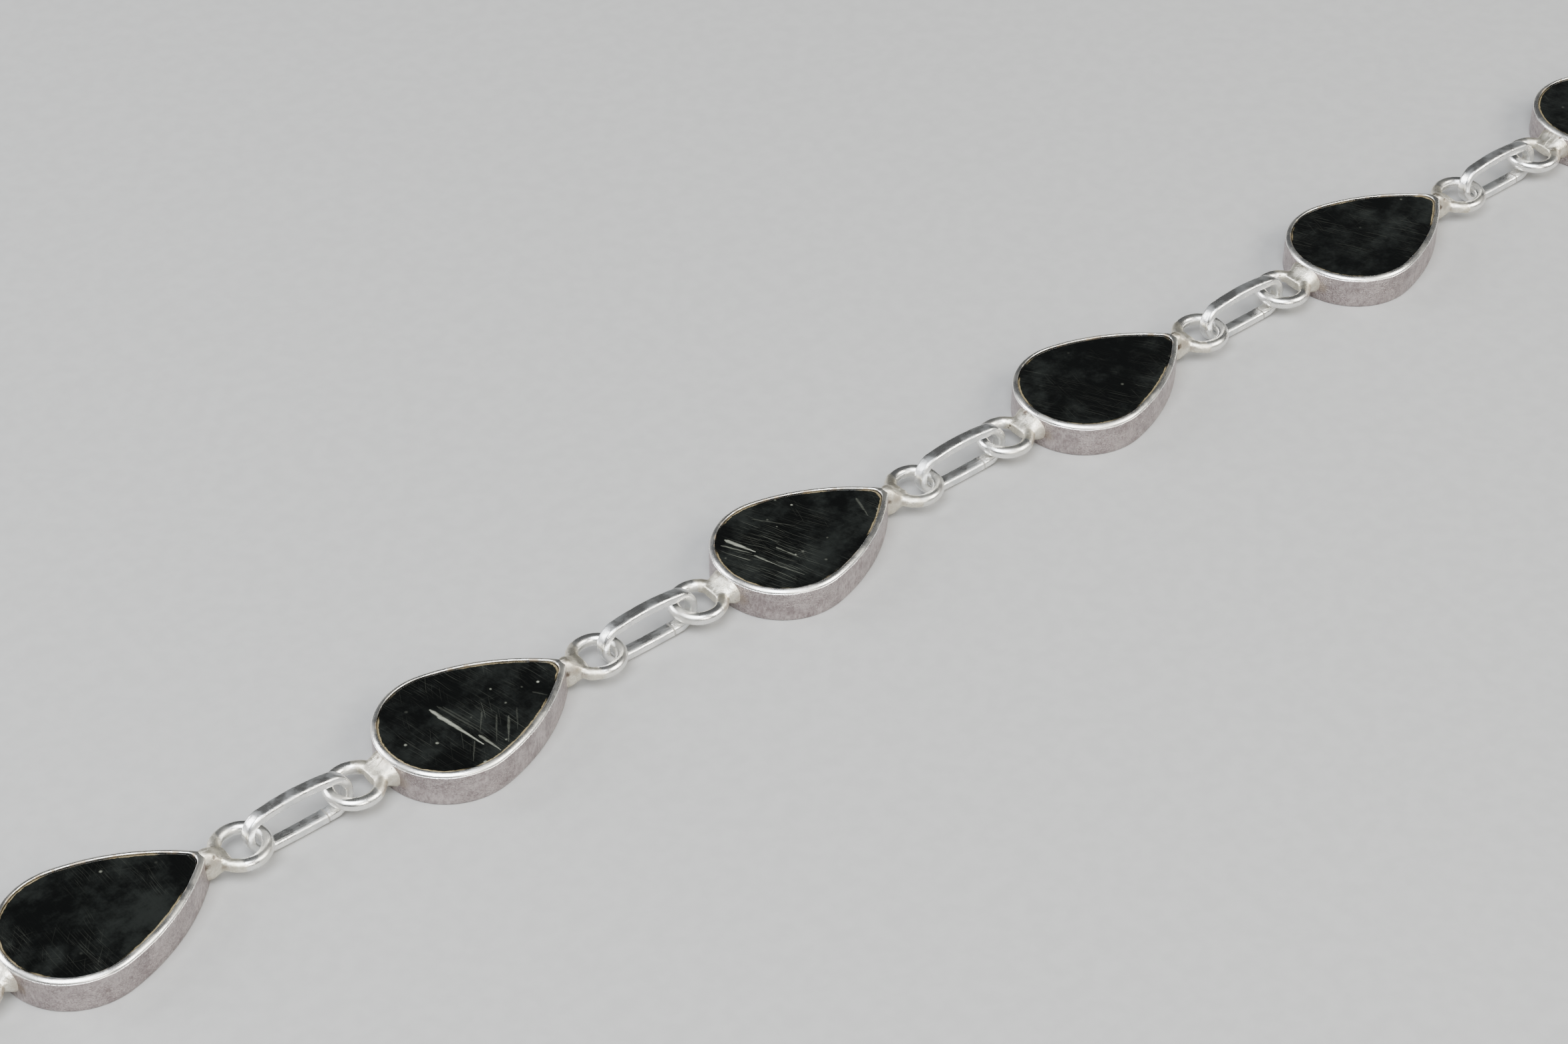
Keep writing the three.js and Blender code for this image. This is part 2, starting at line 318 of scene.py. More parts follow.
# %% [markdown]
# Three modifiers do the melting. Remesh makes one skin of small even quads, Smooth lets it sag, and Decimate
# takes most of the points back out and keeps them where the skin bends.

# %% melt the joints
VOXEL, SAG, SAG_TIMES, KEPT = 0.062, 0.5, 7, 0.34  # voxel size in millimetres, and the share of faces kept
END = -BEZEL_LENGTH  # where the wall's round end is
TIP_SLICE, ROUND_SLICE = 1.9, 1.1  # how much of the wall each joint takes in
# each row is (distance out from the wall, half width, half height, height of its middle)
TIP_WEB = [
    (-0.50, 0.50, 1.04, 1.28), (-0.32, 0.57, 1.08, 1.29), (-0.12, 0.63, 1.06, 1.29),
    (0.08, 0.68, 0.98, 1.28), (0.28, 0.73, 0.82, 1.27), (0.48, 0.78, 0.64, 1.25),
    (0.68, 0.84, 0.50, EYE_Z), (0.90, 0.88, 0.42, EYE_Z), (1.12, 0.80, 0.34, EYE_Z),
]
ROUND_WEB = [
    (-0.20, 1.26, 0.90, 1.22), (-0.06, 1.22, 0.92, 1.24), (0.12, 1.15, 0.86, 1.24), (0.34, 1.07, 0.70, 1.24),
    (0.60, 1.00, 0.54, EYE_Z), (0.88, 0.94, 0.42, EYE_Z), (1.14, 0.80, 0.34, EYE_Z),
]


def melted(*bodies):
    piece = mesh_object("melt", *joined(*bodies))
    skin = piece.modifiers.new("skin", "REMESH")
    skin.mode, skin.voxel_size = "VOXEL", VOXEL
    sag = piece.modifiers.new("sag", "SMOOTH")
    sag.factor, sag.iterations = SAG, SAG_TIMES
    piece.modifiers.new("fewer", "DECIMATE").ratio = KEPT
    piece = baked(piece, "melt")
    verts = np.array([v.co[:] for v in piece.data.vertices])
    faces = [tuple(p.vertices) for p in piece.data.polygons]
    bpy.data.objects.remove(piece)
    return verts, faces


tip_joint = melted(eye(EYE_REACH), web(TIP_WEB), wall_slice(lambda p: p[0] > -TIP_SLICE))
round_web = [(END - out, *size) for out, *size in reversed(ROUND_WEB)]
round_joint = melted(eye(END - EYE_REACH), web(round_web), wall_slice(lambda p: p[0] < END + ROUND_SLICE))
print("tip joint", len(tip_joint[1]), "faces; round joint", len(round_joint[1]))

# %% [markdown]
# ## The stone
#
# A flat slice of polished black stone. Its side leans out under the lip, which holds it down, and its top
# edge is rounded by a few hundredths of a millimetre. It could be cut from a block and bevelled, but a stack
# of the cup's own outlines keeps the same small gap to the lip all round. The flat top has rings too, so that
# its shading stays even.

# %% the stone
STONE_TOP = 2.25
# each row is (inset, height) in millimetres
SIDE = [(0.36, 0.46), (0.3, 0.52), (0.3, 1.7), (0.345, 1.95)]
EDGE = rounded([(0.385, 2.14), (0.4, STONE_TOP), (0.5, STONE_TOP), (0.64, STONE_TOP)])
FLAT = [(inset, STONE_TOP) for inset in (0.9, 1.8, 2.7, 3.5)]
STONE = [*SIDE, *EDGE, *FLAT]
stone = loft([at_height(pear(inset), z) for inset, z in STONE])
print("stone:", len(STONE), "rings,", len(stone[1]), "faces")

# %% [markdown]
# ## Links and hook
#
# Both are a flat silver strap bent edge-on: a rounded rectangle swept along a path. A curve object with a
# bevel would sweep it too, but a mesh of its own lets the strap thin at the bends and step at its seam.

# %% strap sweep
STRAP_T, STRAP_W, STRAP_CORNER, CORNER_STEPS = 0.6, 0.95, 0.22, 5
BEND, BEND_STEPS = 1.1, 21  # radius of a bend, to the middle of the strap


def step(x, low, high):
    """0 up to low, 1 from high, and a smooth rise between."""
    t = np.clip((x - low) / (high - low), 0, 1)
    return t * t * (3 - 2 * t)


def strap_section():
    """Rounded rectangle, from the middle of the strap."""
    x, y, r = STRAP_T / 2 - STRAP_CORNER, STRAP_W / 2 - STRAP_CORNER, STRAP_CORNER
    corners = ((x, y), (-x, y), (-x, -y), (x, -y))
    return np.concatenate([
        arc(cx, cy, r, k * QUARTER, (k + 1) * QUARTER, CORNER_STEPS) for k, (cx, cy) in enumerate(corners)
    ])


def strap(path, scales, closed):
    """The strap bent along a path seen from above, with its section scaled at each point of the path."""
    ahead, behind = np.roll(path, -1, 0), np.roll(path, 1, 0)
    if not closed:
        ahead[-1], behind[0] = path[-1], path[0]
    along = ahead - behind
    along /= np.linalg.norm(along, axis=1)[:, None]
    rings = []
    for (x, y), (dx, dy), scale in zip(path, along, scales):
        s = strap_section() * scale
        rings.append(np.column_stack([x - dy * s[:, 0], y + dx * s[:, 0], s[:, 1]]))
    return loft(rings, closed)


print("strap section:", len(strap_section()), "points")

# %% [markdown]
# A link is a long oval whose upper side swells a little more than its lower. It was bent from one length of
# strap, whose two ends were soldered near one end of the lower side and don't meet quite true.

# %% the link
LINK_HALF = 3.28  # from a link's middle to the middle of its strap at either end
BOW_LOW, BOW_HIGH = 0.03, 0.16  # how far a link's lower and upper sides swell
SEAM = 0.55  # from the end of the straight side to the seam
BEND_THINNING, THINS_OVER = 0.1, 0.9  # the share that a bend thins by, and the length that it takes
SEAM_SCALES = [1.03, 1.04, 0.97, 0.985]  # two points before the seam and two after it
straight_half = LINK_HALF - BEND


def link_side(x, level, bow):
    x = np.asarray(x)
    return np.column_stack([x, level + bow * (1 - (x / straight_half) ** 2)])


def link_path():
    """Once round the link from its seam. The points crowd at the seam, so that its step stays short."""
    c, seam = straight_half, straight_half - SEAM
    return np.concatenate([
        link_side([seam, seam + 0.08, seam + 0.25], -BEND, -BOW_LOW),
        arc(c, 0, BEND, -QUARTER, QUARTER, BEND_STEPS),
        link_side(np.linspace(c, -c, 16)[1:-1], BEND, BOW_HIGH),
        arc(-c, 0, BEND, QUARTER, 3 * QUARTER, BEND_STEPS),
        link_side([*np.linspace(-c, seam - 0.25, 14)[1:], seam - 0.1, seam - 0.03], -BEND, -BOW_LOW),
    ])


path = link_path()
scales = 1 - BEND_THINNING * step(np.abs(path[:, 0]), straight_half, straight_half + THINS_OVER)
scales[[-2, -1, 0, 1]] = SEAM_SCALES
link = strap(path, scales, True)
print("link:", len(path), "sections,", len(link[1]), "faces")

# %% [markdown]
# The hook is an S of the same strap. Its two bends hook over the last eyes from opposite sides, so its bar
# crosses over from the low side to the high side. The tails taper to a blunt end.

# %% the closing hook
HOOK_TAIL, HOOK_BEND_STEPS = 2.1, 12
TAIL_SCALES = [0.55, 0.82, 0.95, 1.0]  # from the very end inwards


def hook_path():
    c = HOOK_SPAN / 2 - EYE_RADIUS
    tail = [[-c + HOOK_TAIL, BEND], [-c + HOOK_TAIL / 2, BEND]]
    bend = arc(-c, 0, BEND, QUARTER, 3 * QUARTER, HOOK_BEND_STEPS)
    left = np.concatenate([tail, bend, [[-c + HOOK_TAIL / 2, -BEND]]])
    return rounded(np.concatenate([left, -left[::-1]]))


path = hook_path()
from_end = np.minimum(np.arange(len(path)), np.arange(len(path))[::-1])
hook = strap(path, np.interp(from_end, range(len(TAIL_SCALES)), TAIL_SCALES), False)
print("hook:", len(path), "sections,", len(hook[1]), "faces")

# %% [markdown]
# ## Where each point was drawn
#
# Once the copies are laid out and made real, a shader can no longer tell a wall from a rim. So each template
# keeps its drawing position in millimetres in an attribute, `local`. A second one, `track`, unrolls the
# metal: its first number runs along the rim, wire or strap and its second across it, so that polishing lines
# can follow the metal. A UV map would hold the same two numbers, but it has to be unwrapped first.

# %% positions and tracks
MIDDLE = BEZEL_LENGTH / 2


def template(name, body, **attributes):
    """Points in millimetres on the pear's own X; the object's X is measured from the span's middle."""
    verts, faces = body
    piece = mesh_object(name, (verts + [MIDDLE, 0, 0]) * MM, faces)
    attributes["local"] = verts
    for key, values in attributes.items():
        values = np.asarray(values, np.float32)
        kind, field = ("FLOAT_VECTOR", "vector") if values.ndim == 2 else ("FLOAT", "value")
        piece.data.attributes.new(key, kind, "POINT").data.foreach_set(field, values.ravel())
    return piece


def lengths(points):
    """Distance from the first point along the line to each."""
    return np.concatenate([[0], np.cumsum(np.linalg.norm(np.diff(points, axis=0), axis=1))])


def outline_track(outline, section):
    """The track of a stack of outlines: along the outline, and across it up and over the section."""
    along, across = np.tile(lengths(outline), len(section)), np.repeat(lengths(section), len(outline))
    return np.column_stack([along, across, np.zeros(len(along))])


def strap_track(path, section):
    """The track of a strap: along its path, and across it round the section."""
    along, across = np.repeat(lengths(path), len(section)), np.tile(lengths(section), len(path))
    return np.column_stack([along, across, np.zeros(len(along))])


def eye_track(verts):
    """The track of a joint's points: round the eye's circle, and round the wire."""
    centre = np.where(verts[:, 0] > -MIDDLE, EYE_REACH, END - EYE_REACH)
    x = np.abs(verts[:, 0] + MIDDLE) - MIDDLE - EYE_REACH
    turn, out = np.arctan2(verts[:, 1], x), np.hypot(x, verts[:, 1]) - EYE_RADIUS
    return np.column_stack([turn * EYE_RADIUS, np.arctan2(verts[:, 2] - EYE_Z, out) * WIRE_RADIUS, centre])


print("along the outline:", round(lengths(OUTLINE)[-1], 2), "mm")
print("along a link:", round(lengths(link_path())[-1], 2), "mm")

# %% [markdown]
# Solder is dull and lumpy where the wire is bright and even, and the crease at the wall is darker, partly
# tarnish and partly painted shade. Both are a matter of distance, so they are measured on the template's
# points rather than painted as a texture.

# %% solder and crease


def outside(verts, outline):
    """Distance of each point from the outline, seen from above, counted only outside it."""
    start, along = outline, np.roll(outline, -1, 0) - outline
    away = verts[:, None, :2] - start[None]
    share = np.clip((away * along).sum(2) / (along**2).sum(1), 0, 1)
    distance = np.linalg.norm(away - share[..., None] * along, axis=2).min(1)
    turn = along[:, 0] * away[..., 1] - along[:, 1] * away[..., 0]
    return np.where((turn > 0).all(1), 0, distance)


def solder_amount(verts):
    """1 on the web, falling to 0 where the plain wire of the eye begins."""
    reach = np.where(verts[:, 0] > -MIDDLE, EYE_REACH - verts[:, 0], verts[:, 0] - (END - EYE_REACH))
    return step(reach, 0.3, 1.2)


joints = joined(tip_joint, round_joint)
joint_solder, joint_reach = solder_amount(joints[0]), outside(joints[0], OUTLINE)
print("joint points:", len(joint_reach), "of which soldered:", int((joint_solder > 0.5).sum()))

# %% [markdown]
# ## Templates
#
# One object per kind of piece, drawn round the middle of its span with X along the chain. `lump` says how far
# the surface may be pushed in and out, so that no two copies are quite the same. Solder may move most, the
# rubbed-over lip less, the wall and the wire hardly, and the stone not at all.

# %% setting and stone templates
WALL_LUMP, LIP_LUMP, WIRE_LUMP, STRAP_LUMP = 0.07, 0.2, 0.08, 0.25
cup_inset, cup_height = np.repeat([inset for inset, _ in CUP], len(OUTLINE)), cup[0][:, 2]
inner_edge = step(cup_inset, 0.25, 0.33) * step(cup_height, 1.9, 2.1)
no_cup, no_joint = np.zeros(len(cup[0])), np.zeros(len(joints[0]))
setting_template = template(
    "setting_template",
    joined(cup, joints),
    track=np.concatenate([outline_track(OUTLINE, np.array(CUP)), eye_track(joints[0])]),
    solder=np.concatenate([no_cup, joint_solder]),
    wall=np.concatenate([no_cup + 1, no_joint]),
    lip=np.concatenate([inner_edge, no_joint]),
    crease=np.concatenate([no_cup, 1 - step(joint_reach, 0.03, 0.3)]),
    lump=np.concatenate([
        step(cup_height, 0.2, 0.5) * (WALL_LUMP + LIP_LUMP * inner_edge),
        (WIRE_LUMP + joint_solder) * step(joint_reach, 0.0, 0.3),
    ]),
)
stone_inset = np.repeat([inset for inset, _ in STONE], len(OUTLINE))
stone_edge = 1 - step(stone_inset, 0.4, 0.66)
stone_template = template("stone_template", stone, edge=stone_edge, lump=np.zeros(len(stone[0])))
print({made.name: len(made.data.polygons) for made in (setting_template, stone_template)})

# %% [markdown]
# A link also knows where its seam is: the first and the last section of its path, which lie side by side.

# %% strap templates


def strap_template(name, body, path, closed):
    """A strap piece is drawn round its own middle, so it is moved to the middle of the pear's X first."""
    verts, faces = body
    section = strap_section()
    seam = np.isin(np.repeat(np.arange(len(path)), len(section)), [0, len(path) - 1]) * closed
    body, lump = (verts - [MIDDLE, 0, 0], faces), np.full(len(verts), STRAP_LUMP)
    return template(name, body, track=strap_track(path, section), seam=seam, lump=lump)


link_template = strap_template("link_template", link, link_path(), True)
hook_template = strap_template("hook_template", hook, hook_path(), False)
print({made.name: len(made.data.polygons) for made in (link_template, hook_template)})

# %% [markdown]
# ## Node helpers
#
# A shader or a Geometry Nodes tree is sums and masks over a surface. Written out node by node it hides its
# own meaning, so a few helpers add a node, feed it and hand back its result.

# %% node helpers


def add(tree, kind, inputs=None, **settings):
    """A node of that kind in the tree. An input is a plain value, or the socket that feeds it."""
    node = tree.nodes.new(kind)
    for name, value in settings.items():
        setattr(node, name, value)
    for name, value in (inputs or {}).items():
        socket = node.inputs[name]
        if isinstance(value, bpy.types.NodeSocket):
            tree.links.new(value, socket)
        else:
            socket.default_value = value
    return node


def calc(tree, operation, *values):
    """The result of one Math node."""
    return add(tree, "ShaderNodeMath", dict(enumerate(values)), operation=operation).outputs[0]


def times(tree, first, *others):
    for other in others:
        first = calc(tree, "MULTIPLY", first, other)
    return first


def plus(tree, first, *others):
    for other in others:
        first = calc(tree, "ADD", first, other)
    return first


def vector_calc(tree, operation, *values):
    """The vector that one Vector Math node makes."""
    return add(tree, "ShaderNodeVectorMath", dict(enumerate(values)), operation=operation).outputs[0]


def scaled(tree, vector, factor):
    return add(tree, "ShaderNodeVectorMath", {0: vector, "Scale": factor}, operation="SCALE").outputs[0]


def distance(tree, here, there):
    return add(tree, "ShaderNodeVectorMath", {0: here, 1: there}, operation="DISTANCE").outputs["Value"]


def vector(tree, *parts):
    return add(tree, "ShaderNodeCombineXYZ", dict(enumerate(parts))).outputs[0]


def parts_of(tree, whole):
    """The X, Y and Z of a vector or colour."""
    return add(tree, "ShaderNodeSeparateXYZ", {0: whole}).outputs


def turned_by(tree, whole, angle):
    """The vector turned about Z."""
    inputs = {"Vector": whole, "Angle": angle}
    return add(tree, "ShaderNodeVectorRotate", inputs, rotation_type="Z_AXIS").outputs[0]


# %% [markdown]
# Three helpers shape a mask. A ramp turns a range of values smoothly into another, a spot is a ramp of the
# distance from a point, and noise is centred so that it can be added to something without shifting it.

# %% mask helpers


def ramp(tree, value, low, high, to_low=0.0, to_high=1.0):
    """Value from low to high turned smoothly into to_low to to_high, and held outside that."""
    inputs = {"Value": value, "From Min": low, "From Max": high, "To Min": to_low, "To Max": to_high}
    return add(tree, "ShaderNodeMapRange", inputs, interpolation_type="SMOOTHSTEP").outputs["Result"]


def spot(tree, away, inner, outer, strength=1.0):
    """Strength up to the inner distance, falling to 0 at the outer one."""
    return ramp(tree, away, inner, outer, strength, 0.0)


def noise(tree, place, scale, detail=2.0, roughness=0.5):
    inputs = {"Vector": place, "Scale": scale, "Detail": detail, "Roughness": roughness}
    return add(tree, "ShaderNodeTexNoise", inputs).outputs["Fac"]


def centred(tree, value, size):
    """A noise from 0 to 1 as one from minus half that size to plus half."""
    return times(tree, calc(tree, "SUBTRACT", value, 0.5), size)


# %% [markdown]
# ## Surface effects as shader groups
#
# Wear is the same few effects on every piece, so each is a group: fine parallel lines, one deliberate
# scratch, and the sandy grain of a wall that was never polished. They only hand out masks and heights. The
# surface itself stays in each material.
#
# The fine lines are drawn like ruled paper that lost most of its lines: the surface is cut in narrow rows and
# each row in long cells, and a random number for each cell says whether it has a line, where in the row, how
# wide and how strong. A stretched noise would be fewer nodes, but its lines curl like fibres.

# %% fine parallel lines


def group(name, inputs, outputs):
    tree = bpy.data.node_groups.new(name, "ShaderNodeTree")
    for label, value in inputs.items():
        kind = "NodeSocketVector" if isinstance(value, tuple) else "NodeSocketFloat"
        tree.interface.new_socket(label, in_out="INPUT", socket_type=kind).default_value = value
    for label in outputs:
        tree.interface.new_socket(label, in_out="OUTPUT", socket_type="NodeSocketFloat")
    return tree, tree.nodes.new("NodeGroupInput").outputs, tree.nodes.new("NodeGroupOutput").inputs


def drawn(tree, *seeds):
    """One random number, and three more, for whole-number seeds."""
    inputs = {"Vector": vector(tree, *seeds)}
    dice = add(tree, "ShaderNodeTexWhiteNoise", inputs, noise_dimensions="3D").outputs
    return dice["Value"], parts_of(tree, dice["Color"])


def make_fine_lines():
    inputs = {"Vector": (0, 0, 0), "Angle": 0.0, "Seed": 0.0}
    inputs.update({"Per mm": 12.0, "Length": 2.5, "Width": 0.02, "Keep": 0.3})
    tree, i, o = group("fine_lines", inputs, ["Mask"])
    turned = turned_by(tree, i["Vector"], i["Angle"])
    place = parts_of(tree, turned)
    sway = times(tree, noise(tree, turned, 0.35, 1.0), 0.5)
    rows = times(tree, plus(tree, place["Y"], sway), i["Per mm"])
    row, in_row = calc(tree, "FLOOR", rows), calc(tree, "FRACT", rows)
    start = times(tree, drawn(tree, row, i["Seed"], 3.0)[0], 37.0)
    cells = plus(tree, calc(tree, "DIVIDE", place["X"], i["Length"]), start)
    cell, in_cell = calc(tree, "FLOOR", cells), calc(tree, "FRACT", cells)
    chance, more = drawn(tree, row, cell, i["Seed"])
    half = times(tree, i["Width"], i["Per mm"], plus(tree, times(tree, more["X"], 0.35), 0.15))
    centre = plus(tree, times(tree, more["Y"], 0.5), 0.25)
    away = calc(tree, "ABSOLUTE", calc(tree, "SUBTRACT", in_row, centre))
    line = spot(tree, away, times(tree, half, 0.4), half)
    fade = ramp(tree, times(tree, in_cell, calc(tree, "SUBTRACT", 1.0, in_cell)), 0.0, 0.16)
    there = calc(tree, "LESS_THAN", chance, i["Keep"])
    strength = plus(tree, times(tree, calc(tree, "POWER", more["Z"], 3.0), 0.8), 0.2)
    tree.links.new(times(tree, line, fade, there, strength), o["Mask"])
    return tree


FINE_LINES = make_fine_lines()
print(FINE_LINES.name, "nodes:", len(FINE_LINES.nodes))

# %% [markdown]
# A deliberate scratch is the distance from a line between two points. A tool digs in where it lands and lifts
# as it leaves, so the line starts blunt and ends thin.

# %% one scratch


def make_scratch():
    inputs = {"Vector": (0, 0, 0), "From": (0, 0, 0), "Along": (1, 0, 0), "Length": 1.0, "Width": 0.05}
    tree, i, o = group("one_scratch", inputs, ["Mask"])
    here = vector_calc(tree, "SUBTRACT", i["Vector"], i["From"])
    inputs = {0: here, 1: i["Along"]}
    reach = add(tree, "ShaderNodeVectorMath", inputs, operation="DOT_PRODUCT").outputs["Value"]
    reach = add(tree, "ShaderNodeClamp", {"Value": reach, "Max": i["Length"]}).outputs[0]
    away = distance(tree, here, scaled(tree, i["Along"], reach))
    share = calc(tree, "DIVIDE", reach, i["Length"])
    blunt, thin = ramp(tree, share, 0.0, 0.08, 0.45, 1.0), ramp(tree, share, 0.35, 1.05, 1.0, 0.3)
    half = times(tree, i["Width"], times(tree, blunt, thin))
    tree.links.new(spot(tree, away, times(tree, half, 0.2), half), o["Mask"])
    return tree


SCRATCH = make_scratch()
print(SCRATCH.name, "nodes:", len(SCRATCH.nodes))

# %% [markdown]
# The bezel's wall was never polished and has a dull grain. It is noise, fine as sand in most places and
# stretched to short furrows in patches. A flat grey would look like plastic beside the bright rim.

# %% sandy grain


def mixed(tree, factor, a, b):
    return add(tree, "ShaderNodeMix", {"Factor": factor, "A": a, "B": b}, data_type="FLOAT").outputs[0]


def make_grain():
    inputs = {"Vector": (0, 0, 0), "Track": (0, 0, 0), "Per mm": 9.0}
    tree, i, o = group("sandy_grain", inputs, ["Height", "Mottle"])
    sand = noise(tree, i["Vector"], i["Per mm"], 2.0, 0.6)
    across = vector_calc(tree, "MULTIPLY", i["Track"], (1.0, 0.4, 1.0))
    furrow = noise(tree, across, times(tree, i["Per mm"], 0.6), 2.0, 0.55)
    patch = ramp(tree, noise(tree, i["Vector"], times(tree, i["Per mm"], 0.04), 2.0), 0.44, 0.62, 0.0, 0.8)
    height = mixed(tree, patch, sand, furrow)
    tree.links.new(height, o["Height"])
    mottle = noise(tree, i["Vector"], times(tree, i["Per mm"], 0.1), 6.0, 0.85)
    tree.links.new(mixed(tree, 0.4, mottle, height), o["Mottle"])
    return tree


GRAIN = make_grain()
print(GRAIN.name, "nodes:", len(GRAIN.nodes))

# %% [markdown]
# A material reads the template's attributes and blends colours by masks. Each copy should wear in its own
# way, so its noise is read from another place: the drawing position moved far off by the copy's number.

# %% material helpers
COPY_APART = 5.3  # millimetres


def use(tree, shared, inputs):
    return add(tree, "ShaderNodeGroup", inputs, node_tree=shared).outputs


def attribute(tree, name, output="Fac"):
    return add(tree, "ShaderNodeAttribute", attribute_name=name).outputs[output]


def blend(tree, factor, a, b):
    """Colour a where the factor is 0, b where it is 1."""
    a, b = ((*colour, 1) if isinstance(colour, tuple) else colour for colour in (a, b))
    return add(tree, "ShaderNodeMix", {"Factor": factor, 6: a, 7: b}, data_type="RGBA").outputs[2]


def material(name):
    made = bpy.data.materials.new(name)
    made.use_nodes = True
    return made, made.node_tree, made.node_tree.nodes["Principled BSDF"]


# %% [markdown]
# ## Silver
#
# One alloy with three finishes. The burnished rim, the eye wire and the links are bright with fine scratches.
# The outer wall is matte and faintly pink, with a sandy grain. The solder is creamy and dull. Three materials
# would meet in hard lines, so it is one material with a mask for each finish. The wall gives way to the rim
# at a height, with a little noise so that the line wanders as a hand-rubbed edge does.

# %% silver: which finish is where
FIRST_LINK, HOOK_NUMBER = 51, 80  # copies are numbered: settings and stones from 1, links from 51
silver, t, shader = material("worn_silver")  # t is the material's node tree
local, track, unit = attribute(t, "local", "Vector"), attribute(t, "track", "Vector"), attribute(t, "unit")
solder, wall, lip, crease, seam = (attribute(t, name) for name in ("solder", "wall", "lip", "crease", "seam"))
apart = vector(t, 0.0, 0.0, times(t, unit, COPY_APART))
place, along_metal = vector_calc(t, "ADD", local, apart), vector_calc(t, "ADD", track, apart)
wander = centred(t, noise(t, place, 0.9, 3.0), 0.14)
matte = times(t, wall, ramp(t, plus(t, parts_of(t, local)["Z"], wander), 2.08, 2.15, 1.0, 0.0))
soldered = ramp(t, plus(t, solder, centred(t, noise(t, place, 2.2, 3.0), 0.9)), 0.25, 0.6)
strap_metal = ramp(t, unit, SETTINGS + 1.0, FIRST_LINK - 1.0)  # 0 on a setting, 1 on a link or the hook
grain = use(t, GRAIN, {"Vector": place, "Track": along_metal, "Per mm": 10.0})
polished = {"Vector": track, "Angle": 0.06, "Per mm": 9.0, "Length": 1.3, "Width": 0.05, "Keep": 0.5}
lines = use(t, FINE_LINES, {**polished, "Seed": unit})["Mask"]
scratched = times(t, lines, calc(t, "MULTIPLY_ADD", soldered, -0.8, 1.0))
print("finishes:", len(t.nodes), "nodes")

# %% [markdown]
# Solder boils as it sets, so it has pits. They are darkened with painted shade, as a hollow holds shade, with
# brown patches round them. Noise scatters both. The few that show best are listed, with ragged edges. The
# crease where the web meets the wall is darker, partly tarnish and partly painted shade. Tarnish also settles
# inside the lip.

# %% silver: pits and crease with painted shade, brown patches and stains
# each row is (place in millimetres, radius)
# The first table marks pits, darkened with painted shade; the second marks brown patches.
SHADED_PITS = [((-0.42, -0.62, 1.6), 0.3), ((0.1, -0.4, 1.95), 0.16), ((-13.1, 0.35, 1.95), 0.22)]
BROWN_PATCHES = [
    ((0.1, -0.55, 1.7), 0.55), ((-12.95, -1.5, 1.1), 0.6), ((-0.9, 0.9, 1.6), 0.4), ((-13.1, 1.2, 1.6), 0.4),
]
ragged = centred(t, noise(t, place, 1.7, 4.0, 0.65), 0.5)
# scattered pits on the solder, which the colour darkens with painted shade
shaded_pits = times(t, soldered, ramp(t, noise(t, place, 2.2), 0.70, 0.76))
brown_patches_and_crease_shade = times(t, soldered, ramp(t, noise(t, place, 0.8, 3.0, 0.6), 0.56, 0.7, 0.0, 0.5))


def with_spots(mask, spots):
    for middle, radius in spots:
        away = plus(t, distance(t, local, middle), ragged)
        mask = calc(t, "MAXIMUM", mask, spot(t, away, radius * 0.3, radius))
    return mask


shaded_pits, brown_patches_and_crease_shade = with_spots(shaded_pits, SHADED_PITS), with_spots(brown_patches_and_crease_shade, BROWN_PATCHES)
# the crease where the web meets the wall is darkened, partly tarnish and partly painted shade
brown_patches_and_crease_shade = calc(t, "MAXIMUM", brown_patches_and_crease_shade, times(t, crease, ramp(t, noise(t, place, 1.4, 4.0, 0.65), 0.38, 0.6)))
stain = times(t, lip, ramp(t, noise(t, place, 1.5, 3.0), 0.5, 0.62))
print("with pits and stains:", len(t.nodes), "nodes")

# %% [markdown]
# Colour goes on in layers, each blended over the last by its mask. So the order counts: the wall's tone goes
# over the bright metal, solder over both, and brown patches with the crease's painted shade, the seam, the
# pits' painted shade and the lip's stains on top.

# %% silver: colour
smudge = ramp(t, noise(t, place, 0.8, 4.0, 0.6), 0.4, 0.65)
dulled = blend(t, strap_metal, (0.80, 0.785, 0.73), (0.66, 0.67, 0.67))
colour = blend(t, smudge, (0.94, 0.93, 0.90), dulled)
wall_tone = blend(t, ramp(t, grain["Mottle"], 0.36, 0.64), (0.26, 0.215, 0.215), (0.55, 0.49, 0.48))
colour = blend(t, matte, colour, wall_tone)
solder_tone = blend(t, ramp(t, grain["Mottle"], 0.35, 0.65), (0.58, 0.535, 0.43), (0.86, 0.825, 0.73))
colour = blend(t, soldered, colour, solder_tone)
for mask, strength, tone in (
    # brown patches on the solder, and the crease's painted shade
    (brown_patches_and_crease_shade, 0.5, (0.34, 0.27, 0.20)),
    (seam, 0.6, (0.42, 0.38, 0.32)),
    # the pits' dark colour is painted shade
    (shaded_pits, 0.9, (0.10, 0.075, 0.06)),
    (stain, 0.8, (0.42, 0.32, 0.20)),
):
    colour = blend(t, times(t, mask, strength), colour, tone)
t.links.new(colour, shader.inputs["Base Color"])
shader.inputs["Metallic"].default_value = 1.0
print("with colour:", len(t.nodes), "nodes")

# %% [markdown]
# Roughness adds up from the same masks. The relief goes into a Bump node, which tilts the light without
# moving the surface. That is right for marks of a few hundredths of a millimetre, while the web and the
# lumps, which show in outline, are real shape.

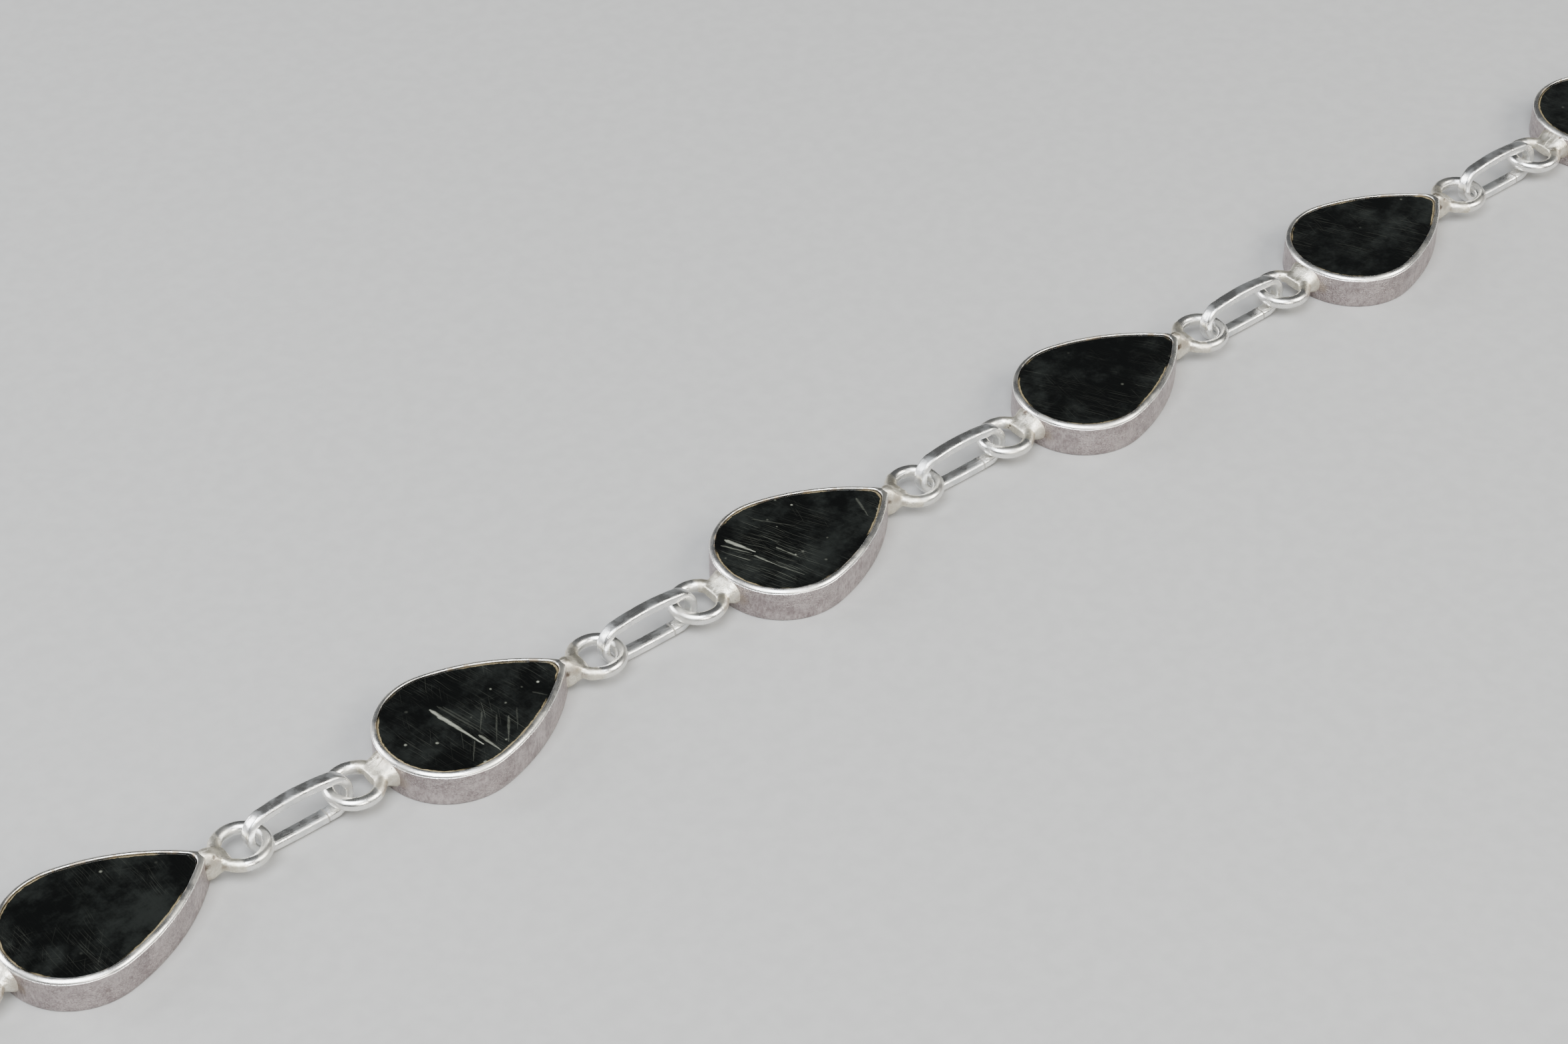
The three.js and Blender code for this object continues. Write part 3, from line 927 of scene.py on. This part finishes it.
# %% silver: roughness and relief
rough = plus(t, 0.24, times(t, smudge, ramp(t, strap_metal, 0.0, 1.0, 0.12, 0.2)))
ROUGHER = ((scratched, 0.12), (matte, 0.12), (soldered, 0.14), (shaded_pits, 0.3), (stain, 0.25), (seam, 0.15))
for mask, more in ROUGHER:
    rough = plus(t, rough, times(t, mask, more))
t.links.new(rough, shader.inputs["Roughness"])
relief = times(t, grain["Height"], plus(t, times(t, matte, 4.5), soldered))
scuffs = plus(t, noise(t, along_metal, 2.0), times(t, noise(t, place, 4.0, 4.0, 0.7), 0.5))
relief = plus(t, relief, times(t, scuffs, ramp(t, strap_metal, 0.0, 1.0, 0.35, 1.35)))
for mask, depth in ((scratched, 0.05), (shaded_pits, 1.0), (stain, -0.3), (seam, 0.8)):
    relief = calc(t, "SUBTRACT", relief, times(t, mask, depth))
bump = add(t, "ShaderNodeBump", {"Height": relief, "Strength": 0.7, "Distance": 0.03 * MM})
t.links.new(bump.outputs[0], shader.inputs["Normal"])
print("silver nodes:", len(t.nodes))

# %% [markdown]
# ## Black stone
#
# A polished black stone with a breath of green. Wear on a flat dark stone shows as light lines, because each
# scratch scatters light where the polish doesn't. Every stone has fine lines at an angle of its own. Two
# stones of the straight run were also rubbed in one area, where some of the lines are stronger.

# %% stone: fine lines
black, t, shader = material("scratched_stone")
local, unit = attribute(t, "local", "Vector"), attribute(t, "unit")
place = vector_calc(t, "ADD", local, vector(t, 0.0, 0.0, times(t, unit, COPY_APART)))
wave = calc(t, "SINE", plus(t, times(t, unit, 7.02), 3.4))  # stone by stone, anywhere from -1 to 1
turn = plus(t, times(t, wave, 0.3), 1.3)  # so the lines lie at 1.3 radians, give or take 0.3
# each row is (turned by, lines per mm, length, width, share kept, strength)
FAMILIES = [
    (0.0, 4.5, 2.4, 0.09, 0.55, 0.055),
    (0.08, 6.5, 1.7, 0.06, 0.55, 0.07),
    (0.72, 5.0, 1.6, 0.07, 0.35, 0.04),
    (1.95, 4.0, 1.2, 0.07, 0.25, 0.03),
]
# each row is (stone, middle of the rubbed area, its radius, how much stronger, which families)
RUBBED = [(8, (-6.9, -1.9, STONE_TOP), 3.2, 1.2, (0, 2)), (9, (-9.6, -0.4, STONE_TOP), 4.4, 2.4, (0, 1))]


def on_stone(number, mask):
    """The mask on the stone of that number, and 0 on the others."""
    return times(t, mask, calc(t, "COMPARE", unit, float(number), 0.5))


worn = ramp(t, noise(t, place, 0.32), 0.42, 0.66, 0.04, 1.0)
gains = []
for number, middle, radius, more, families in RUBBED:
    near = on_stone(number, spot(t, distance(t, local, middle), radius * 0.35, radius))
    worn = calc(t, "MAXIMUM", worn, times(t, near, 0.8))
    gains.append((calc(t, "MULTIPLY_ADD", near, more, 1.0), families))
marks = 0.0
for k, (off, per_mm, length, width, keep, strength) in enumerate(FAMILIES):
    sizes = {"Per mm": per_mm, "Length": length, "Width": width, "Keep": keep}
    inputs = {"Vector": local, "Angle": plus(t, turn, off), "Seed": plus(t, unit, 50.0 * k), **sizes}
    family = times(t, use(t, FINE_LINES, inputs)["Mask"], strength)
    for gain, families in gains:
        if k in families:
            family = times(t, family, gain)
    marks = plus(t, marks, family)
marks = times(t, marks, worn)
print("fine lines:", len(t.nodes), "nodes")

# %% [markdown]
# The same two stones carry longer scratches and specks, listed on the flat in millimetres from the
# tip. Straight even strokes would look drawn on, so a little noise bends them, and streaks along the fine
# lines break up their strength.

# %% stone: scratches and specks listed one by one
# stone: rows of (from, to, half width, strength), the places rounded to a quarter of a millimetre
SCRATCHES = {
    8: [
        ((-8.75, 1.5), (-8.0, -2.75), 0.17, 0.5), ((-8.75, 0.75), (-8.25, -1.25), 0.1, 0.4),
        ((-7.75, -2.0), (-7.5, -3.75), 0.14, 0.28), ((-5.5, -1.75), (-6.75, -3.5), 0.11, 0.1),
        ((-8.25, 1.5), (-7.5, -1.75), 0.1, 0.05), ((-8.0, 1.25), (-7.25, -2.0), 0.08, 0.04),
        ((-6.5, -0.5), (-7.5, -1.75), 0.08, 0.06), ((-6.0, -1.25), (-7.25, -3.0), 0.08, 0.06),
        ((-8.25, -2.25), (-9.25, -3.5), 0.07, 0.07), ((-4.75, -1.5), (-5.75, -3.0), 0.08, 0.045),
        ((-3.25, -1.0), (-2.75, -1.75), 0.07, 0.06),
    ],
    9: [
        ((-11.0, 2.5), (-10.25, 0.5), 0.18, 0.5), ((-11.5, 2.25), (-10.5, 0.5), 0.08, 0.2),
        ((-10.5, 0.25), (-10.0, -1.25), 0.09, 0.3), ((-10.0, -1.25), (-9.25, -3.0), 0.08, 0.14),
        ((-9.0, 0.0), (-8.75, -0.75), 0.09, 0.18), ((-8.75, -0.75), (-8.5, -1.5), 0.09, 0.18),
        ((-8.5, 3.0), (-6.75, 0.75), 0.07, 0.06), ((-2.25, 0.5), (-2.75, -1.25), 0.12, 0.08),
    ],
}
# stone: rows of (place, radius, strength)
SPECKS = {
    8: [
        ((-2.5, -0.5), 0.11, 0.65), ((-5.0, 0.75), 0.1, 0.3), ((-5.0, -0.75), 0.1, 0.16),
        ((-3.5, -0.25), 0.09, 0.08), ((-7.25, -0.5), 0.09, 0.08), ((-6.75, -3.25), 0.11, 0.24),
        ((-11.5, 0.0), 0.13, 0.35), ((-10.0, -1.0), 0.13, 0.4), ((-8.75, -4.0), 0.15, 0.45),
    ],
    9: [
        ((-8.5, -1.25), 0.09, 0.35), ((-5.75, 2.5), 0.11, 0.35), ((-6.25, 3.5), 0.11, 0.14),
        ((-7.75, 1.5), 0.08, 0.14), ((-6.0, -1.25), 0.09, 0.1),
    ],
}
flat = vector_calc(t, "MULTIPLY", local, (1, 1, 0))
wobble = add(t, "ShaderNodeTexNoise", {"Vector": flat, "Scale": 2.2, "Detail": 4.0}).outputs["Color"]
wobble = vector_calc(t, "MULTIPLY", vector_calc(t, "SUBTRACT", wobble, (0.5, 0.5, 0.5)), (0.1, 0.1, 0))
bent = vector_calc(t, "ADD", flat, wobble)
by_hand = 0.0
for number in SCRATCHES:
    on_this = 0.0
    for start, end, width, strength in SCRATCHES[number]:
        run = Vector((*end, 0)) - Vector((*start, 0))
        inputs = {"From": (*start, 0), "Along": tuple(run.normalized()), "Length": run.length, "Width": width}
        scratch = times(t, use(t, SCRATCH, {"Vector": bent, **inputs})["Mask"], strength)
        on_this = calc(t, "MAXIMUM", on_this, scratch)
    for middle, radius, strength in SPECKS[number]:
        speck = spot(t, distance(t, bent, (*middle, 0)), radius * 0.3, radius, strength)
        on_this = calc(t, "MAXIMUM", on_this, speck)
    by_hand = plus(t, by_hand, on_stone(number, on_this))
streaks = noise(t, vector_calc(t, "MULTIPLY", turned_by(t, flat, turn), (1.6, 11.0, 0)), 1.0, 3.0)
marks = calc(t, "MAXIMUM", marks, times(t, by_hand, ramp(t, streaks, 0.3, 0.6, 0.45, 1.0)))
print("scratches and specks placed by hand:", {n: (len(SCRATCHES[n]), len(SPECKS[n])) for n in SCRATCHES})

# %% [markdown]
# Every stone also gets specks from a Voronoi texture, whose distance is small only near its scattered points.
# A thin haze clouds the black in patches. Grime sits in crumbs along the edge under the lip, in some
# stretches only, and always on one side of stone 8's round end.

# %% stone: specks, haze and grime
dots = add(t, "ShaderNodeTexVoronoi", {"Vector": place, "Scale": 0.55, "Randomness": 1.0}).outputs["Distance"]
dust = times(t, spot(t, dots, 0.02, 0.085), ramp(t, noise(t, place, 0.4, 1.0), 0.4, 0.6, 0.1, 1.0))
marks = calc(t, "MAXIMUM", marks, times(t, dust, 0.4))
haze = ramp(t, noise(t, place, 0.3, 5.0, 0.7), 0.42, 0.7)
grimy = ramp(t, noise(t, place, 0.3), 0.48, 0.6, 0.0, 0.9)
round_end = spot(t, distance(t, local, (-12.0, -1.5, STONE_TOP)), 2.0, 3.5)
grimy = calc(t, "MAXIMUM", grimy, on_stone(8, round_end))
crumbs = plus(t, attribute(t, "edge"), calc(t, "SUBTRACT", noise(t, place, 2.6, 4.0, 0.65), 0.5))
grime = times(t, ramp(t, crumbs, 0.66, 0.9), grimy)
print("with specks and grime:", len(t.nodes), "nodes")

# %% [markdown]
# The marks change colour and roughness but stay out of the relief. A Bump node works its height out three
# times over, and with this many marks in it the shader grows past what Cycles can run, and turns plain black.

# %% stone: surface
colour = blend(t, haze, (0.0012, 0.0014, 0.0013), (0.009, 0.0103, 0.0094))
colour = blend(t, marks, colour, (0.36, 0.372, 0.31))
colour = blend(t, times(t, grime, 0.85), colour, (0.215, 0.172, 0.095))
t.links.new(colour, shader.inputs["Base Color"])
rough = plus(t, ramp(t, haze, 0.0, 1.0, 0.08, 0.125), times(t, plus(t, marks, grime), 0.35))
t.links.new(rough, shader.inputs["Roughness"])
shader.inputs["IOR"].default_value = 1.54
waves = times(t, noise(t, place, 0.4), 0.8)
bump = add(t, "ShaderNodeBump", {"Height": waves, "Strength": 0.5, "Distance": 0.02 * MM})
t.links.new(bump.outputs[0], shader.inputs["Normal"])
print("stone nodes:", len(t.nodes))

# %% [markdown]
# ## Laying copies along the chain
#
# A chain is a rule rather than a shape: on every span stands one copy, turned to run along it. An array
# modifier can't turn each copy to its own span, but a Geometry Nodes tree can. It takes bare edges, turns
# each into a point that remembers its direction, and stands a template on it. A link also rolls up onto its
# thin side and leans a little differently each time. After the copies are made real, the points marked as
# uneven are pushed in and out by one noise in space.

# %% the copying tree
INPUTS = {
    "Spans": "Geometry", "Piece": "Object", "First number": "Int", "Lean": "Float", "Lean spread": "Float",
    "Seed": "Int", "Unevenness": "Float", "Lumps per mm": "Float", "Material": "Material",
}


def stored(tree, geometry, name, value, kind, domain):
    inputs = {"Geometry": geometry, "Name": name, "Value": value}
    return add(tree, "GeometryNodeStoreNamedAttribute", inputs, data_type=kind, domain=domain).outputs[0]


def remembered(tree, name, kind):
    return add(tree, "GeometryNodeInputNamedAttribute", {"Name": name}, data_type=kind).outputs["Attribute"]


def turns_along(tree, i):
    """The turn of each copy: X along the span, then rolled about it by the lean."""
    heading = remembered(tree, "along", "FLOAT_VECTOR")
    turned = add(tree, "FunctionNodeAlignRotationToVector", {"Vector": heading}, axis="X").outputs[0]
    spread = i["Lean spread"]
    inputs = {"Seed": i["Seed"], 2: times(tree, spread, -1.0), 3: spread}
    lean = add(tree, "FunctionNodeRandomValue", inputs, data_type="FLOAT").outputs[1]
    roll = vector(tree, plus(tree, i["Lean"], lean))
    roll = add(tree, "FunctionNodeEulerToRotation", {0: roll}).outputs[0]
    return add(tree, "FunctionNodeRotateRotation", {0: turned, 1: roll}, rotation_space="LOCAL").outputs[0]


def push_out(tree, i):
    """How far each point moves along its normal: one noise in space, by the point's own unevenness."""
    in_mm = scaled(tree, add(tree, "GeometryNodeInputPosition").outputs[0], 1 / MM)
    wave = calc(tree, "SUBTRACT", noise(tree, in_mm, i["Lumps per mm"]), 0.5)
    push = times(tree, wave, remembered(tree, "lump", "FLOAT"), i["Unevenness"])
    return scaled(tree, add(tree, "GeometryNodeInputNormal").outputs[0], push)


def copies_tree():
    tree = bpy.data.node_groups.new("copies_on_spans", "GeometryNodeTree")
    tree.is_modifier = True
    for label, kind in INPUTS.items():
        tree.interface.new_socket(label, in_out="INPUT", socket_type="NodeSocket" + kind)
    tree.interface.new_socket("Copies", in_out="OUTPUT", socket_type="NodeSocketGeometry")
    i, o = tree.nodes.new("NodeGroupInput").outputs, tree.nodes.new("NodeGroupOutput").inputs
    ends = add(tree, "GeometryNodeInputMeshEdgeVertices").outputs
    along = vector_calc(tree, "SUBTRACT", ends["Position 2"], ends["Position 1"])
    edges = stored(tree, i["Spans"], "along", along, "FLOAT_VECTOR", "EDGE")
    points = add(tree, "GeometryNodeMeshToPoints", {"Mesh": edges}, mode="EDGES").outputs[0]
    piece = add(tree, "GeometryNodeObjectInfo", {"Object": i["Piece"]}).outputs["Geometry"]
    inputs = {"Points": points, "Instance": piece, "Rotation": turns_along(tree, i)}
    copies = add(tree, "GeometryNodeInstanceOnPoints", inputs).outputs[0]
    number = plus(tree, add(tree, "GeometryNodeInputIndex").outputs[0], i["First number"])
    copies = stored(tree, copies, "unit", number, "FLOAT", "INSTANCE")
    for kind, inputs in (
        ("GeometryNodeRealizeInstances", {}),
        ("GeometryNodeSetPosition", {"Offset": push_out(tree, i)}),
        ("GeometryNodeSetShadeSmooth", {}),
        ("GeometryNodeSetMaterial", {"Material": i["Material"]}),
    ):
        copies = add(tree, kind, {"Geometry": copies, **inputs}).outputs[0]
    tree.links.new(copies, o["Copies"])
    return tree


COPIES = copies_tree()
print("copying tree:", len(COPIES.nodes), "nodes")

# %% [markdown]
# The tree is used through a modifier on a mesh of bare edges. Its inputs are set by each socket's identifier,
# because the names are only labels. The baked copies then ride on the necklace's body and are shown in place
# of the CAD solids that they stand for.

# %% lay copies
IDENTIFIERS = {s.name: s.identifier for s in COPIES.interface.items_tree if s.in_out == "INPUT"}


def lay(name, slot, at_spans, height, nodes, **inputs):
    """Lays copies of a template on the spans and shows them in place of those CAD nodes."""
    mesh = bpy.data.meshes.new(name)
    ends = [(*(p * MM), height * MM) for span in at_spans for p in span]
    mesh.from_pydata(ends, [(k, k + 1) for k in range(0, len(ends), 2)], [])
    piece = bpy.data.objects.new(name, mesh)
    bpy.context.scene.collection.objects.link(piece)
    modifier = piece.modifiers.new("copies", "NODES")
    modifier.node_group = COPIES
    for label, value in inputs.items():
        modifier[IDENTIFIERS[label.replace("_", " ")]] = value
    piece = baked(piece, name)
    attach(piece, "root")
    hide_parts(*nodes)
    print(name, len(piece.data.polygons), "faces")


def named(kind, first, last):
    return [f"{kind}_{n:02d}" for n in range(first, last + 1)]


# %% [markdown]
# The settings go down in three batches, so that each stays a light mesh: the straight run, and the curve on
# either side. The stones are one batch.

# %% settings and stones
SETTING_LUMPS = {"Unevenness": 0.2 * MM, "Lumps_per_mm": 1.0}
for name, first, last in (("settings_left", 1, 6), ("settings_straight", 7, 12), ("settings_right", 13, 18)):
    lay(
        name, "silver", setting_spans[first - 1:last], 0, named("setting", first, last),
        Piece=setting_template, First_number=first, Material=silver, **SETTING_LUMPS,
    )
lay(
    "stones", "black_stone", setting_spans, 0, named("stone", 1, SETTINGS),
    Piece=stone_template, First_number=1, Material=black,
)

# %% [markdown]
# A link that hangs in two flat eyes can't lie flat too, so it stands almost on its thin side, with its lower
# edge on the table. Its middle is therefore at the height that its lean and its rounded corner give.

# %% links and hook
LEAN, LEAN_SPREAD, CLEAR = math.radians(82), math.radians(1.5), 0.01
STRAP_LUMPS = {"Unevenness": 0.04 * MM, "Lumps_per_mm": 0.9}
hook_half = BEND + STRAP_T / 2
link_half = hook_half + BOW_LOW


def strap_height(half):
    """Height of a leaning strap piece's middle when its rounded lower edge is just clear of the table."""
    up, across = (half - STRAP_CORNER) * math.sin(LEAN), (STRAP_W / 2 - STRAP_CORNER) * math.cos(LEAN)
    return up + across + STRAP_CORNER + CLEAR


lay(
    "links", "silver", link_spans, strap_height(link_half), named("link", 1, SETTINGS - 1),
    Piece=link_template, First_number=FIRST_LINK, Lean=LEAN, Lean_spread=LEAN_SPREAD, Seed=3,
    Material=silver, **STRAP_LUMPS,
)
lay(
    "closing_hook", "silver", [hook_span], strap_height(hook_half), ["hook_clasp"],
    Piece=hook_template, First_number=HOOK_NUMBER, Lean=LEAN, Material=silver, **STRAP_LUMPS,
)
for made in (setting_template, stone_template, link_template, hook_template):
    bpy.data.objects.remove(made)

# %% [markdown]
# ## Table and room
#
# The necklace lies on a plain pale table, whose faint noise keeps it from being a flat colour. The room's own
# light is dim, because the flat stones mirror it and have to stay black.

# %% table and room
TABLE_HALF = 4  # metres
table, t, shader = material("table")
shader.inputs["Roughness"].default_value = 0.75
paper = noise(t, add(t, "ShaderNodeTexCoord").outputs["Object"], 900.0, 3.0)
tone = blend(t, ramp(t, paper, 0.3, 0.7), (0.315, 0.313, 0.309), (0.335, 0.333, 0.329))
t.links.new(tone, shader.inputs["Base Color"])
corners = [(x * TABLE_HALF, y * TABLE_HALF, 0) for x, y in ((-1, -1), (1, -1), (1, 1), (-1, 1))]
floor = mesh_object("table", corners, [(0, 1, 2, 3)])
floor.data.materials.append(table)
floor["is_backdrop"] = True

world = bpy.data.worlds.new("room")
bpy.context.scene.world = world
world.use_nodes = True
background = world.node_tree.nodes["Background"].inputs
background["Color"].default_value = (0.62, 0.64, 0.66, 1)
background["Strength"].default_value = 0.13
print("table:", 2 * TABLE_HALF, "m wide")

# %% [markdown]
# ## Camera
#
# The camera looks down on the straight run from its near left, so that the run crosses the view from the
# lower left to the upper right. The lens is long, so the nearest and farthest settings stay close in size.

# %% camera
YAW, PITCH = math.radians(50.83), math.radians(40.5)
camera = bpy.data.objects.new("camera", bpy.data.cameras.new("camera"))
camera.location = (-0.1192, -0.0812, 0.1453)
camera.rotation_euler = (math.pi / 2 - PITCH, 0, YAW - math.pi / 2)
camera.data.lens, camera.data.sensor_width, camera.data.clip_start = 82.5, 36.0, 0.005
bpy.context.scene.collection.objects.link(camera)
bpy.context.scene.camera = camera
print("camera looks down by", round(math.degrees(PITCH), 1), "degrees")

# %% [markdown]
# ## Light
#
# Polished metal shows what is round it, and so does a flat black stone. Small lamps would show as hard dots,
# so the light comes from four soft panels, placed by how the camera sees them. The strongest is overhead,
# the next to the right, and two weaker ones fill in from the left and from behind the camera. Seen from here
# the flat stones mirror none of them, while the rounded rims and wires always find something bright.

# %% panels
# each row is (name, metres ahead of, right of and above the middle of the loop, size, watts, colour)
PANELS = [
    ("overhead", (-0.24, -0.12, 0.50), (0.42, 0.40), 7.8, (0.93, 0.965, 1.0)),
    ("right", (-0.06, 0.46, 0.42), (0.34, 0.34), 4.6, (1.0, 0.975, 0.90)),
    ("left", (0.10, -0.48, 0.22), (0.22, 0.30), 2.4, (0.94, 0.96, 1.0)),
    ("front", (-0.45, 0.22, 0.30), (0.20, 0.22), 1.8, (1.0, 0.95, 0.86)),
]
RUN_MIDDLE = Vector((0, 0.047, 0))  # every panel faces the middle of the straight run
ahead = Vector((math.cos(YAW), math.sin(YAW), 0))
aside = Vector((math.sin(YAW), -math.cos(YAW), 0))


def panel(name, place, size, power, colour):
    light = bpy.data.lights.new(name, "AREA")
    light.shape, light.size, light.size_y = "RECTANGLE", *size
    light.energy, light.color = power, colour
    lamp = bpy.data.objects.new(name, light)
    lamp.location = place[0] * ahead + place[1] * aside + Vector((0, 0, place[2]))
    lamp.rotation_euler = (RUN_MIDDLE - lamp.location).to_track_quat("-Z", "Y").to_euler()
    bpy.context.scene.collection.objects.link(lamp)


for row in PANELS:
    panel(*row)
print("panels:", [row[0] for row in PANELS])

# %% [markdown]
# ## Finish
#
# The two boxes, of the CAD solids at the start and of the made pieces now, are gathered side by side, and the
# made box is printed in millimetres.

# %% finish
bounds_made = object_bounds()
sizes = {"at_load": [list(c) for c in bounds_at_load], "made": [list(c) for c in bounds_made]}
print("made box in mm:", [round(x / MM, 2) for corner in bounds_made for x in corner])
